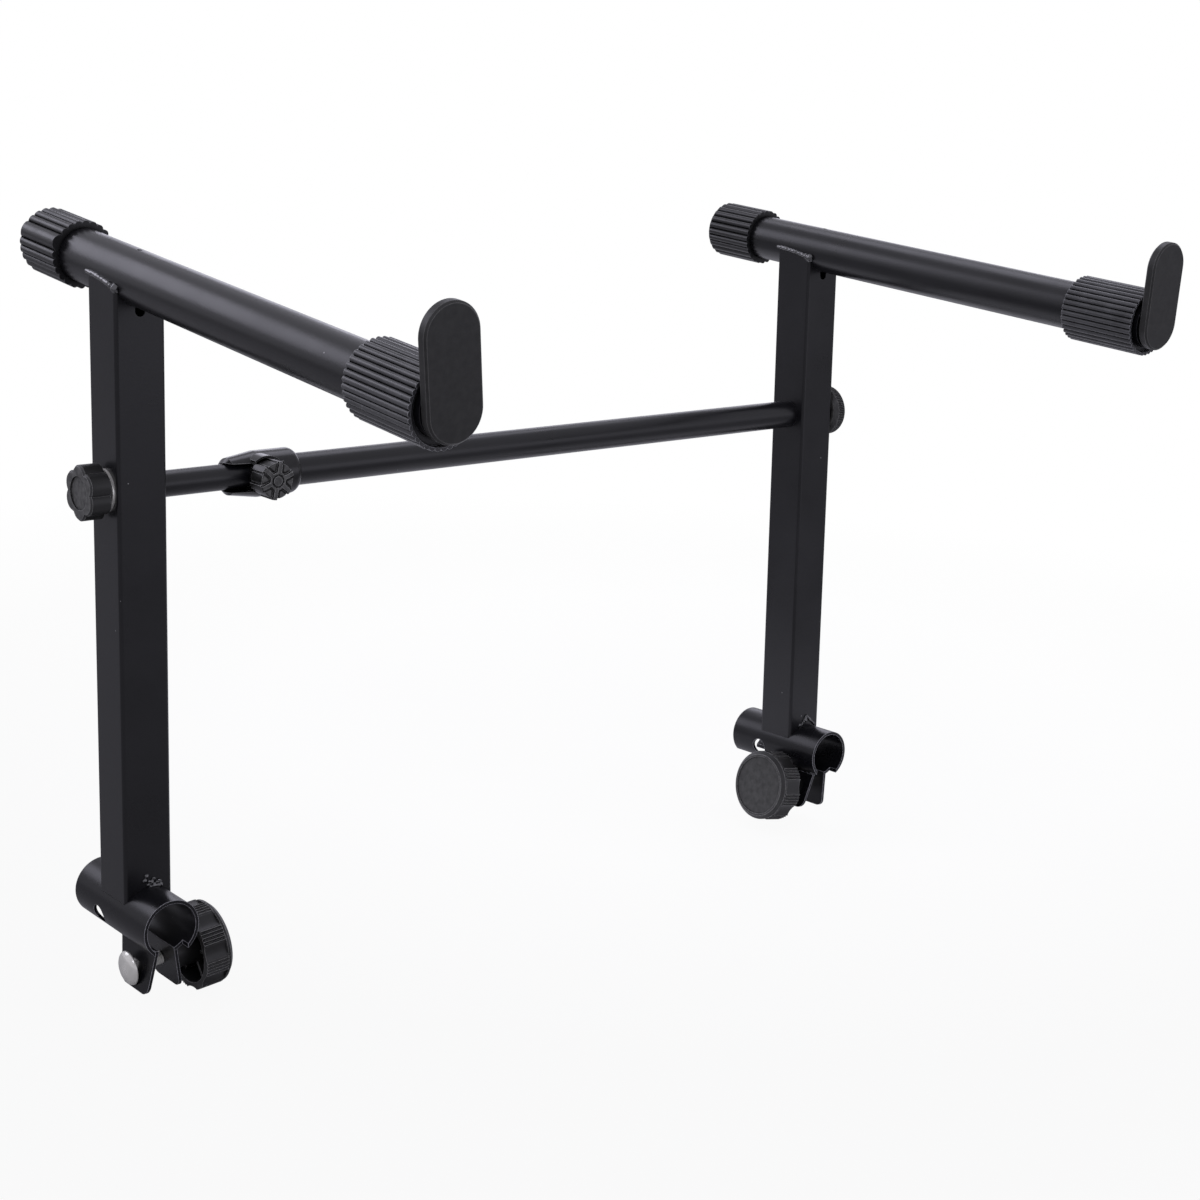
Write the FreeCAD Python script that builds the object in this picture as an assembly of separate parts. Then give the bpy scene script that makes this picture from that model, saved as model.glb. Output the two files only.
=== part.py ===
import FreeCAD, Part
import math
import os

# Second-tier keyboard stand: two welded side frames, each a sloping arm on a square
# upright with a split clamp under it, joined by a telescopic crossbar.
# Millimetres. +X runs along the crossbar from the left frame to the right one,
# +Y runs to the back, +Z up. The origin is the centre of the left clamp's bore.

os.makedirs("parts", exist_ok=True)

V = FreeCAD.Vector
CENTRE = V(0, 0, 0)
X_AXIS = V(1, 0, 0)
Y_AXIS = V(0, 1, 0)
Z_AXIS = V(0, 0, 1)

# Whole stand
frame_spacing = 540.0         # centre line to centre line of the uprights
bar_height = 249.0            # clamp axis up to the crossbar's axis
arm_height = 367.0            # clamp axis up to where arm and upright cross
arm_tilt_deg = 6.0            # each arm falls to the front
right_swing_deg = -2.1        # the right frame rests swung about the crossbar
overrun = 6.0                 # how far a cutting tool runs past what it cuts
seat_clearance = 0.05         # radial, between pieces pressed or moulded together
thread_clearance = 0.06       # radial, between a screw and its nut
swing_clearance = 0.3         # radial, between pieces that move past each other

# Uprights: square tube, coped to the arm above and the clamp tube below
upright_width = 30.0
upright_wall = 1.5
upright_corner_radius = 2.0
upright_side_drop = 3.0       # the side walls stop this far under the arm's axis
drain_notch_radius = 3.0
drain_notch_drop = 2.4        # the notch's centre lies this far under the arm

# Arms: round tube
arm_radius = 15.0
arm_wall = 1.5
arm_front_reach = 288.5       # from the upright's centre line, along the arm
arm_rear_reach = 81.5
vent_radius = 1.5
vent_reach = 14.0             # in front of the upright's centre line

# Ribbed rubber grip sleeve near each arm's front end
sleeve_length = 51.0
sleeve_setback = 1.5          # behind the arm's front end
sleeve_crest_radius = 20.3
sleeve_valley_radius = 19.0
sleeve_rib_count = 36
sleeve_mouth_radius = 18.4
sleeve_mouth_depth = 3.0

# End stop: an upright plate with a hollow plug pushed into the arm
stop_gap = 1.2                # arm end to the plate's back
stop_thickness = 6.0
stop_half_width = 15.4
stop_top_rise = 35.0          # arm axis up to the centre of the plate's top arc
stop_edge_bevel = 1.1
stop_plug_length = 24.0
stop_plug_wall = 2.5
stop_plug_lead = 1.0
left_stop_turn_deg = -9.0
right_stop_turn_deg = -3.0

# Scalloped rubber cap on each arm's rear end
cap_length = 40.5
cap_end_wall = 2.5
cap_crest_radius = 19.0
cap_valley_radius = 17.4
cap_lobe_count = 23
cap_wide_lobe_share = 2.1     # the one wide lobe against the others
cap_wide_lobe_rise = 1.5      # its crest over the others'
cap_end_bevel = 1.5
left_cap_gap = 4.0            # inside, from the arm's end to the cap's end wall
right_cap_gap = 0.0
left_wide_lobe_deg = 155.0    # where the wide lobe stands, from +X towards +Z
right_wide_lobe_deg = 25.0

# Clamp tube, split along its underside
clamp_bore_radius = 15.5
clamp_wall = 2.0
clamp_length = 82.0
clamp_lip_half_gap = 10.5
right_clamp_turn_deg = 7.5    # its gap doesn't hang straight down
side_hole_radius = 6.0
side_hole_back = 14.0
side_hole_drop = 6.0

# Clamp ears
ear_root_half_gap = 5.0
ear_root_drop = 16.0
ear_splay_deg = 10.5
ear_thickness = 1.9
ear_drop = 42.0               # bore axis down to the ears' lower edge
ear_front_root = 34.5
ear_front_tip = 32.0
ear_back_root = 4.5
ear_back_tip = 3.5            # in front of the clamp's middle
ear_corner_radius = 6.0

# M8 carriage bolt through the ears
bolt_forward = 14.0
bolt_drop = 29.5
bolt_tilt_deg = 4.0           # it hangs with the knob's end up
bolt_radius = 4.0
bolt_length = 45.0
bolt_head_radius = 10.3
bolt_head_height = 4.6
bolt_head_edge = 1.2
bolt_neck_width = 8.0
bolt_neck_length = 4.5
bolt_hole_clearance = 0.4

# Plain washers
washer_thickness = 1.6
clamp_washer_radius = 10.0
bar_washer_radius = 12.2
washer_hole_clearance = 0.3

# Clamp knob: hollow-backed, ribs and finger scoops round the rim
knob_radius = 25.5
knob_depth = 30.5             # washer to face
knob_rim_width = 18.5
knob_rim_wall = 2.6
knob_face_wall = 3.0
knob_hub_radius = 9.5
knob_group_count = 8
knob_ribs_per_group = 5
knob_rib_depth = 0.9
knob_scoop_depth = 1.9
knob_scoop_share = 0.46       # of each group's angle
knob_front_band = 4.0         # smooth, between the ribs and the face
knob_front_radius = 24.9
knob_edge_bevel = 2.4
knob_disc_share = 0.82        # of the knob's radius
knob_disc_depth = 0.6
knob_web_count = 6
knob_web_thickness = 1.8
knob_web_share = 0.6          # of the rim's width
knob_nut_radius = 6.5
knob_nut_length = 12.0
knob_nut_lead = 1.0

# Crossbar: a tube sliding in a tube, a threaded plug in each outer end
inner_bar_radius = 7.5
inner_bar_length = 390.0
outer_bar_radius = 9.5
bar_wall = 1.5
bar_plug_length = 25.0
stud_radius = 4.0
stud_engagement = 18.0        # how far a stud reaches into its plug
stud_hole_clearance = 0.5

# Left crossbar knob: six-lobed star
star_crest_radius = 15.6
star_valley_radius = 13.2
star_lobe_count = 6
star_thickness = 12.2
star_hub_radius = 8.0
star_hub_length = 2.0
star_edge_bevel = 1.0
star_disc_radius = 9.4
star_disc_depth = 0.8
star_stud_depth = 9.0

# Right crossbar knob: knurled disc with a bevelled back
disc_radius = 17.5
disc_thickness = 9.0
disc_bevel = 3.5
disc_bevel_rise = 2.6
disc_edge_radius = 0.8
disc_tooth_count = 84
disc_tooth_depth = 0.6
disc_hub_radius = 9.0
disc_hub_length = 2.0
disc_recess_radius = 12.0
disc_recess_depth = 0.6
disc_stud_depth = 8.5

# Telescope collar: moulded onto the outer tube, gripping the inner one
collar_start = 59.0           # from the left upright's centre line
collar_end = 105.8
collar_radius = 13.5
collar_jaw_radius = 10.8
collar_jaw_round = 2.8
collar_step_reach = 20.5      # jaws' tips to the thicker part
collar_end_radius = 4.6
collar_knob_reach = 21.5      # jaws' tips to the knob's axis
collar_tube_shoulder = 30.5   # jaws' tips to the outer tube's end
collar_slot_half_height = 8.3
collar_slot_back = 12.6       # the slot runs this far past the knob's axis
collar_hood_wall = 1.2        # the ridge that arches over the knob
collar_hood_front = 13.2
collar_hood_start = 4.0       # above the bar's axis
collar_boss_radius = 7.6
collar_boss_front = 11.5      # bar axis to the boss's front
collar_nut_radius = 5.0
collar_nut_length = 3.0

# Telescope knob: eight narrow lobes between flatter panels, a spoked face
grip_crest_radius = 11.3
grip_panel_radius = 10.6
grip_valley_radius = 10.1
grip_lobe_count = 8
grip_lobe_share = 0.36        # of each lobe's pitch
grip_length = 13.2
grip_gap = 0.4                # boss to the knob's back
grip_hub_radius = 3.4
grip_hub_ring = 0.7
grip_groove_depth = 0.8
grip_groove_width = 0.6
grip_groove_half_gap = 1.0    # each spoke stands between two grooves
grip_groove_inner_share = 0.5  # of the valley radius
grip_groove_outer_share = 0.94
grip_edge_bevel = 0.5
grip_screw_radius = 3.0
grip_screw_depth = 9.0


# Sizes that follow from the ones above
upright_half = upright_width / 2
arm_bore_radius = arm_radius - arm_wall
clamp_radius = clamp_bore_radius + clamp_wall
ear_slope = math.tan(math.radians(ear_splay_deg))
bolt_cos = math.cos(math.radians(bolt_tilt_deg))
bolt_sin = math.sin(math.radians(bolt_tilt_deg))
ear_span = ear_thickness / math.cos(math.radians(ear_splay_deg))
bar_reach = frame_spacing - upright_half
inner_bore_radius = inner_bar_radius - bar_wall
outer_bore_radius = outer_bar_radius - bar_wall
outer_bar_start = collar_start + collar_tube_shoulder
crossing = V(0, 0, arm_height)
bar_line = V(0, 0, bar_height)


def ear_inner(drop):
    """Half gap between the ears this far under the bore's axis."""
    return ear_root_half_gap + (drop - ear_root_drop) * ear_slope


def ear_outer(drop):
    return ear_inner(drop) + ear_span


def bolt_seat(radius, side):
    """How far along the tilted bolt a disc on it meets an ear: side 1 head, -1 knob."""
    reach = ear_outer(bolt_drop + radius * bolt_cos) + side * radius * bolt_sin
    return reach / (bolt_cos - side * ear_slope * bolt_sin)


def rod(radius, start, end):
    return Part.makeCylinder(radius, (end - start).Length, start, end - start)


def x_rod(radius, start, end):
    return rod(radius, V(start, 0, 0), V(end, 0, 0))


def y_rod(radius, start, end):
    return rod(radius, V(0, start, 0), V(0, end, 0))


def block(x_range, y_range, z_range):
    low = V(x_range[0], y_range[0], z_range[0])
    high = V(x_range[1], y_range[1], z_range[1])
    size = high - low
    return Part.makeBox(size.x, size.y, size.z, low)


def edges_along(shape, axis):
    """Straight edges parallel to an axis."""
    found = []
    for edge in shape.Edges:
        if isinstance(edge.Curve, Part.Line):
            if edge.Curve.Direction.cross(axis).Length < 1e-6:
                found.append(edge)
    return found


def edges_at(shape, axis, level):
    """Edges that lie in the plane across an axis at a level."""
    found = []
    for edge in shape.Edges:
        box = edge.BoundBox
        low = V(box.XMin, box.YMin, box.ZMin).dot(axis)
        high = V(box.XMax, box.YMax, box.ZMax).dot(axis)
        if abs(low - level) < 1e-4 and abs(high - level) < 1e-4:
            found.append(edge)
    return found


def polar(radius, angle):
    """A point of the XZ plane."""
    return V(radius * math.cos(angle), 0, radius * math.sin(angle))


def arc(first, middle, last):
    return Part.Arc(first, middle, last).toShape()


def lobe_edges(start, end, count, crest, valley):
    """Bumps between two angles, each an arc from valley to valley."""
    step = (end - start) / count
    edges = []
    for index in range(count):
        first = start + index * step
        last = first + step
        edges.append(arc(polar(valley, first), polar(crest, first + step / 2),
                         polar(valley, last)))
    return edges


def ridge_edges(start, end, count, crest, valley):
    """Sharp ridges between two angles, two straight edges each."""
    step = (end - start) / count
    edges = []
    for index in range(count):
        first = start + index * step
        peak = polar(crest, first + step / 2)
        edges.append(Part.makeLine(polar(valley, first), peak))
        edges.append(Part.makeLine(peak, polar(valley, first + step)))
    return edges


def y_extrusion(edges, start, end):
    """A solid between two levels along Y from edges drawn at Y = 0."""
    solid = Part.Face(Part.Wire(edges)).extrude(V(0, end - start, 0))
    solid.translate(V(0, start, 0))
    return solid


def turned(points, axis):
    """A solid turned about an axis from (along, out) points."""
    outward = Z_AXIS
    corners = [axis * along + outward * out for along, out in points]
    corners.append(corners[0])
    face = Part.Face(Part.makePolygon(corners))
    return face.revolve(CENTRE, axis, 360)


def y_to_x(shape):
    """Turns what was drawn along +Y to run along +X."""
    shape.rotate(CENTRE, Z_AXIS, -90)
    return shape


def on_arm(shape):
    """Puts what was drawn along Y onto the sloping arm."""
    shape.translate(crossing)
    shape.rotate(crossing, X_AXIS, arm_tilt_deg)
    return shape


def make_upright():
    height = (0, arm_height + upright_half)
    half = (-upright_half, upright_half)
    outer = block(half, half, height)
    outer = outer.makeFillet(upright_corner_radius, edges_along(outer, Z_AXIS))
    bore_half = upright_half - upright_wall
    span = (-bore_half, bore_half)
    bore = block(span, span, (height[0] - overrun, height[1] + overrun))
    bore = bore.makeFillet(upright_corner_radius - upright_wall, edges_along(bore, Z_AXIS))
    tube = outer.cut(bore)
    wide = (-upright_width, upright_width)
    above = on_arm(block(wide, wide, (-upright_side_drop, upright_width)))
    arm_cope = on_arm(y_rod(arm_radius, -upright_width, upright_width))
    clamp_cope = y_rod(clamp_radius, -upright_width, upright_width)
    tube = tube.cut(above).cut(arm_cope).cut(clamp_cope)
    hole = x_rod(stud_radius + stud_hole_clearance, -upright_width, upright_width)
    hole.translate(bar_line)
    notch_top = block((-drain_notch_radius, drain_notch_radius),
                      (-upright_width, 0), (0, arm_radius))
    notch = y_rod(drain_notch_radius, -upright_width, 0).fuse(notch_top)
    slope_fall = upright_half * math.tan(math.radians(arm_tilt_deg))
    notch.translate(V(0, 0, arm_height - arm_radius - drain_notch_drop - slope_fall))
    return tube.cut(hole).cut(notch)


def make_arm():
    outer = y_rod(arm_radius, -arm_front_reach, arm_rear_reach)
    bore = y_rod(arm_bore_radius, -arm_front_reach - overrun, arm_rear_reach + overrun)
    vent = rod(vent_radius, CENTRE, V(0, 0, arm_radius + overrun))
    vent.translate(V(0, -vent_reach, 0))
    return on_arm(outer.cut(bore).cut(vent))


def make_sleeve():
    front = -arm_front_reach + sleeve_setback
    back = front + sleeve_length
    ribs = lobe_edges(0, 2 * math.pi, sleeve_rib_count, sleeve_crest_radius,
                      sleeve_valley_radius)
    body = y_extrusion(ribs, front, back)
    bore = y_rod(arm_radius + seat_clearance, front - overrun, back + overrun)
    mouth = y_rod(sleeve_mouth_radius, front - overrun, front + sleeve_mouth_depth)
    return on_arm(body.cut(bore).cut(mouth))


def make_stop(turn_deg):
    back = -arm_front_reach - stop_gap
    front = back - stop_thickness
    half = stop_half_width
    low_left = V(-half, 0, 0)
    low_right = V(half, 0, 0)
    top_right = V(half, 0, stop_top_rise)
    top_left = V(-half, 0, stop_top_rise)
    outline = [arc(low_left, V(0, 0, -half), low_right),
               Part.makeLine(low_right, top_right),
               arc(top_right, V(0, 0, stop_top_rise + half), top_left),
               Part.makeLine(top_left, low_left)]
    plate = y_extrusion(outline, front, back)
    rims = edges_at(plate, Y_AXIS, front) + edges_at(plate, Y_AXIS, back)
    plate = plate.makeChamfer(stop_edge_bevel, rims)
    plug_radius = arm_bore_radius - seat_clearance
    plug_end = back + stop_plug_length
    plug = y_rod(plug_radius, back - stop_edge_bevel, plug_end)
    plug = plug.makeChamfer(stop_plug_lead, edges_at(plug, Y_AXIS, plug_end))
    hollow = y_rod(plug_radius - stop_plug_wall, back, plug_end + overrun)
    stop = plate.fuse(plug).cut(hollow)
    stop.rotate(CENTRE, Y_AXIS, turn_deg)
    return on_arm(stop)


def make_cap(gap, wide_lobe_deg):
    back = arm_rear_reach + gap + cap_end_wall
    front = back - cap_length
    pitch = 2 * math.pi / (cap_lobe_count - 1 + cap_wide_lobe_share)
    wide_half = pitch * cap_wide_lobe_share / 2
    wide_start = math.radians(wide_lobe_deg) - wide_half
    wide_end = wide_start + 2 * wide_half
    wide_crest = cap_crest_radius + cap_wide_lobe_rise
    lobes = lobe_edges(wide_start, wide_end, 1, wide_crest, cap_valley_radius)
    lobes += lobe_edges(wide_end, wide_start + 2 * math.pi, cap_lobe_count - 1,
                        cap_crest_radius, cap_valley_radius)
    body = y_extrusion(lobes, front, back)
    barrel = y_rod(wide_crest, front, back)
    bevel = cap_end_bevel + cap_wide_lobe_rise
    barrel = barrel.makeChamfer(bevel, edges_at(barrel, Y_AXIS, back))
    bore = y_rod(arm_radius + seat_clearance, front - overrun, back - cap_end_wall)
    return on_arm(body.common(barrel).cut(bore))


def make_clamp_tube():
    """The bolt's head is on the -X side."""
    half = clamp_length / 2
    ring = y_rod(clamp_radius, -half, half)
    lip_gap = block((-clamp_lip_half_gap, clamp_lip_half_gap), (-clamp_length, clamp_length),
                    (-clamp_radius - overrun, 0))
    body = ring.cut(lip_gap)

    # Between the ears' roots the wall runs on to the ears themselves.
    root = y_rod(clamp_radius, -ear_front_root, ear_back_root)
    root = root.common(block((-clamp_lip_half_gap - clamp_wall, clamp_lip_half_gap + clamp_wall),
                             (-clamp_length, clamp_length), (-clamp_radius, -clamp_wall)))
    side = [V(0, -ear_front_root, -ear_root_drop), V(0, -ear_front_tip, -ear_drop),
            V(0, -ear_back_tip, -ear_drop), V(0, ear_back_root, -ear_root_drop)]
    side.append(side[0])
    plate = Part.Face(Part.makePolygon(side)).extrude(V(ear_drop, 0, 0))
    corners = [edge for edge in edges_along(plate, X_AXIS)
               if abs(edge.BoundBox.ZMin + ear_drop) < 1e-6]
    plate = plate.makeFillet(ear_corner_radius, corners)
    section = [V(ear_inner(ear_root_drop), 0, -ear_root_drop),
               V(ear_inner(ear_drop), 0, -ear_drop),
               V(ear_outer(ear_drop), 0, -ear_drop),
               V(ear_outer(ear_root_drop), 0, -ear_root_drop)]
    section.append(section[0])
    slab = Part.Face(Part.makePolygon(section)).extrude(V(0, clamp_length, 0))
    slab.translate(V(0, -half, 0))
    right_ear = plate.common(slab)
    left_ear = right_ear.mirror(CENTRE, X_AXIS)
    body = body.fuse([root, right_ear, left_ear])

    # The gap starts inside the bore, so that no web is left where the two meet.
    gap_top = clamp_bore_radius - clamp_wall
    wedge = [V(-ear_inner(gap_top), 0, -gap_top), V(ear_inner(gap_top), 0, -gap_top),
             V(ear_inner(ear_drop), 0, -ear_drop), V(-ear_inner(ear_drop), 0, -ear_drop)]
    wedge.append(wedge[0])
    gap = Part.Face(Part.makePolygon(wedge)).extrude(V(0, 2 * clamp_length, 0))
    gap.translate(V(0, -clamp_length, 0))
    bore = y_rod(clamp_bore_radius, -clamp_length, clamp_length)
    body = body.cut(gap).cut(bore)

    side_hole = x_rod(side_hole_radius, -clamp_length, clamp_length)
    side_hole.translate(V(0, side_hole_back, -side_hole_drop))
    neck_half = bolt_neck_width / 2 + bolt_hole_clearance
    square_hole = block((-clamp_length, 0), (-neck_half, neck_half), (-neck_half, neck_half))
    round_hole = x_rod(bolt_radius + bolt_hole_clearance, 0, clamp_length)
    holes = at_bolt(square_hole.fuse(round_hole), 0)
    return body.cut(side_hole).cut(holes).removeSplitter()


def at_bolt(shape, along):
    """Puts what was drawn along +X from X = 0 onto the bolt's tilted line."""
    shape.translate(V(along, 0, 0))
    shape.rotate(CENTRE, Y_AXIS, -bolt_tilt_deg)
    shape.translate(V(0, -bolt_forward, -bolt_drop))
    return shape


def make_clamp_bolt():
    seat = bolt_seat(bolt_head_radius, 1)
    crown = V(-bolt_head_height, 0, 0)
    rim = V(-bolt_head_edge, 0, bolt_head_radius)
    # The crown is one arc, tangent to nothing but symmetric about the axis.
    rise = bolt_head_height - bolt_head_edge
    sphere_radius = (rise ** 2 + bolt_head_radius ** 2) / (2 * rise)
    centre = crown + V(sphere_radius, 0, 0)
    half_angle = math.asin(bolt_head_radius / sphere_radius) / 2
    middle = centre + V(-sphere_radius * math.cos(half_angle), 0,
                        sphere_radius * math.sin(half_angle))
    edges = [arc(crown, middle, rim),
             Part.makeLine(rim, V(0, 0, bolt_head_radius)),
             Part.makeLine(V(0, 0, bolt_head_radius), CENTRE),
             Part.makeLine(CENTRE, crown)]
    head = Part.Face(Part.Wire(edges)).revolve(CENTRE, X_AXIS, 360)
    neck_half = bolt_neck_width / 2
    neck = block((0, bolt_neck_length), (-neck_half, neck_half), (-neck_half, neck_half))
    shank = x_rod(bolt_radius, 0, bolt_length)
    return at_bolt(head.fuse(neck).fuse(shank), -seat)


def make_washer(radius, hole_radius):
    """Lies from X = 0 to its thickness."""
    return x_rod(radius, 0, washer_thickness).cut(x_rod(hole_radius, -overrun, overrun))


def make_clamp_knob():
    """Along +Y from its seat at Y = 0 to its face, then turned to +X."""
    rim_start = knob_depth - knob_rim_width
    pitch = 2 * math.pi / knob_group_count
    scoop = pitch * knob_scoop_share
    valley = knob_radius - knob_rib_depth
    edges = []
    for group in range(knob_group_count):
        start = group * pitch
        edges += lobe_edges(start, start + scoop, 1, knob_radius - knob_scoop_depth, valley)
        edges += ridge_edges(start + scoop, start + pitch, knob_ribs_per_group,
                             knob_radius, valley)
    band_start = knob_depth - knob_front_band
    rim = y_extrusion(edges, rim_start, band_start)
    band = y_rod(knob_front_radius, band_start, knob_depth)
    band = band.makeChamfer(knob_edge_bevel, edges_at(band, Y_AXIS, knob_depth))
    rim = rim.fuse(band)
    hollow_radius = knob_radius - knob_scoop_depth - knob_rim_wall
    hollow_end = knob_depth - knob_face_wall
    body = rim.cut(y_rod(hollow_radius, rim_start - overrun, hollow_end))
    web_half = knob_web_thickness / 2
    web_start = hollow_end - knob_rim_width * knob_web_share
    for index in range(knob_web_count):
        web = block((0, hollow_radius + web_half), (web_start, hollow_end),
                    (-web_half, web_half))
        web.rotate(CENTRE, Y_AXIS, 360 * index / knob_web_count)
        body = body.fuse(web)
    body = body.fuse(y_rod(knob_hub_radius, 0, hollow_end))
    screw_end = hollow_end - seat_clearance
    body = body.cut(y_rod(bolt_radius + bolt_hole_clearance, -overrun, screw_end))
    nut_end = knob_nut_lead + knob_nut_length
    body = body.cut(y_rod(knob_nut_radius, -overrun, nut_end))
    disc = y_rod(knob_radius * knob_disc_share, knob_depth - knob_disc_depth,
                 knob_depth + overrun)
    return y_to_x(body.cut(disc))


def make_clamp_nut():
    nut = x_rod(knob_nut_radius, knob_nut_lead, knob_nut_lead + knob_nut_length)
    return nut.cut(x_rod(bolt_radius + thread_clearance, 0, knob_depth))


def make_bar_plug(radius):
    """Threaded plug along +X from X = 0."""
    plug = x_rod(radius - seat_clearance, 0, bar_plug_length)
    return plug.cut(x_rod(stud_radius + thread_clearance, -overrun, bar_plug_length + overrun))


def make_star_knob():
    """Along +Y from its seat at Y = 0, then turned to +X."""
    face = star_hub_length + star_thickness
    lobes = lobe_edges(0, 2 * math.pi, star_lobe_count, star_crest_radius,
                       star_valley_radius)
    body = y_extrusion(lobes, star_hub_length, face)
    body = body.makeChamfer(star_edge_bevel, edges_at(body, Y_AXIS, face))
    body = body.fuse(y_rod(star_hub_radius, 0, star_hub_length))
    disc = y_rod(star_disc_radius, face - star_disc_depth, face + overrun)
    stud_hole = y_rod(stud_radius, -overrun, star_stud_depth)
    return y_to_x(body.cut(disc).cut(stud_hole))


def make_disc_knob():
    """Along +X from its seat at X = 0."""
    face = disc_hub_length + disc_thickness
    step = math.pi / disc_tooth_count
    corners = []
    for index in range(2 * disc_tooth_count):
        radius = disc_radius - disc_tooth_depth * (index % 2)
        corners.append(polar(radius, index * step))
    corners.append(corners[0])
    teeth = Part.Face(Part.makePolygon(corners)).extrude(V(0, face, 0))
    teeth = y_to_x(teeth)
    profile = [(disc_hub_length, 0), (disc_hub_length, disc_radius - disc_bevel),
               (disc_hub_length + disc_bevel_rise, disc_radius),
               (face - disc_edge_radius, disc_radius),
               (face, disc_radius - disc_edge_radius), (face, 0)]
    body = turned(profile, X_AXIS).common(teeth)
    body = body.fuse(x_rod(disc_hub_radius, 0, disc_hub_length))
    recess = x_rod(disc_recess_radius, face - disc_recess_depth, face + overrun)
    return body.cut(recess).cut(x_rod(stud_radius, -overrun, disc_stud_depth))


def make_stud(depth_in_knob):
    """Along +X: from inside its knob, through washer and upright, into the plug."""
    through = washer_thickness + upright_width + stud_engagement
    return x_rod(stud_radius, -through, depth_in_knob)


def make_collar():
    """Along +X from the jaws' tips at X = 0, the bar's axis on the X axis."""
    length = collar_end - collar_start
    profile = [(0, 0), (0, collar_jaw_radius - collar_jaw_round),
               (collar_jaw_round, collar_jaw_radius),
               (collar_step_reach, collar_radius),
               (length, collar_radius), (length, 0)]
    body = turned(profile, X_AXIS)
    body = body.makeFillet(collar_end_radius, edges_at(body, X_AXIS, length))
    slot = block((-overrun, collar_knob_reach + collar_slot_back), (-collar_radius * 2, 0),
                 (-collar_slot_half_height, collar_slot_half_height))
    body = body.cut(slot)
    knob_room = grip_crest_radius + swing_clearance
    hood = y_rod(knob_room + collar_hood_wall, -collar_hood_front, 0)
    hood = hood.cut(y_rod(knob_room, -collar_hood_front - overrun, overrun))
    over = (collar_hood_start, collar_radius)
    hood = hood.common(block((-collar_boss_radius, collar_radius),
                             (-collar_hood_front, 0), over))
    hood.translate(V(collar_knob_reach, 0, 0))
    body = body.fuse(hood)
    boss = y_rod(collar_boss_radius, -collar_boss_front, 0)
    boss.translate(V(collar_knob_reach, 0, 0))
    floor = block((collar_knob_reach - collar_boss_radius, collar_knob_reach + collar_slot_back),
                  (-outer_bar_radius - bar_wall, 0),
                  (-collar_slot_half_height, collar_slot_half_height))
    body = body.fuse(boss).fuse(floor)
    body = body.cut(x_rod(inner_bar_radius + swing_clearance, -overrun, length + overrun))
    body = body.cut(x_rod(outer_bar_radius + seat_clearance, collar_tube_shoulder,
                          length + overrun))
    screw_hole = y_rod(grip_screw_radius + bolt_hole_clearance, -collar_boss_front - overrun, 0)
    screw_hole.translate(V(collar_knob_reach, 0, 0))
    nut_seat = y_rod(collar_nut_radius, -collar_boss_front - overrun,
                     -collar_boss_front + collar_nut_length)
    nut_seat.translate(V(collar_knob_reach, 0, 0))
    return body.cut(screw_hole).cut(nut_seat)


def make_collar_nut():
    nut = y_rod(collar_nut_radius, -collar_boss_front, -collar_boss_front + collar_nut_length)
    return nut.cut(y_rod(grip_screw_radius + thread_clearance, -2 * collar_boss_front, 0))


def make_grip_knob():
    """Faces -Y, drawn about the screw's axis, the bar's axis at Y = 0."""
    back = -collar_boss_front - grip_gap
    face = back - grip_length
    pitch = 2 * math.pi / grip_lobe_count
    lobe = pitch * grip_lobe_share
    edges = []
    for index in range(grip_lobe_count):
        start = index * pitch
        edges += lobe_edges(start, start + lobe, 1, grip_crest_radius, grip_valley_radius)
        edges += lobe_edges(start + lobe, start + pitch, 1, grip_panel_radius,
                            grip_valley_radius)
    body = y_extrusion(edges, face, back)
    barrel = y_rod(grip_crest_radius, face, back)
    barrel = barrel.makeChamfer(grip_edge_bevel, edges_at(barrel, Y_AXIS, face))
    body = body.common(barrel)
    floor = face + grip_groove_depth
    ring = y_rod(grip_hub_radius, face - overrun, floor)
    ring = ring.cut(y_rod(grip_hub_radius - grip_hub_ring, face - overrun, floor))
    body = body.cut(ring)
    inner = grip_valley_radius * grip_groove_inner_share
    outer = grip_valley_radius * grip_groove_outer_share
    near = grip_groove_half_gap
    far = near + grip_groove_width
    for index in range(grip_lobe_count):
        # The lobes' middles, as Y rotation turns from +X towards -Z.
        turn_deg = -math.degrees(index * pitch + lobe / 2)
        for low, high in ((near, far), (-far, -near)):
            groove = block((inner, outer), (face - overrun, floor), (low, high))
            groove.rotate(CENTRE, Y_AXIS, turn_deg)
            body = body.cut(groove)
    return body.cut(y_rod(grip_screw_radius, back - grip_screw_depth, 0))


def make_grip_screw():
    back = -collar_boss_front - grip_gap
    return y_rod(grip_screw_radius, back - grip_screw_depth,
                 -inner_bar_radius - swing_clearance)


def save(name, shape):
    shape.exportStep("parts/" + name + ".step")


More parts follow.
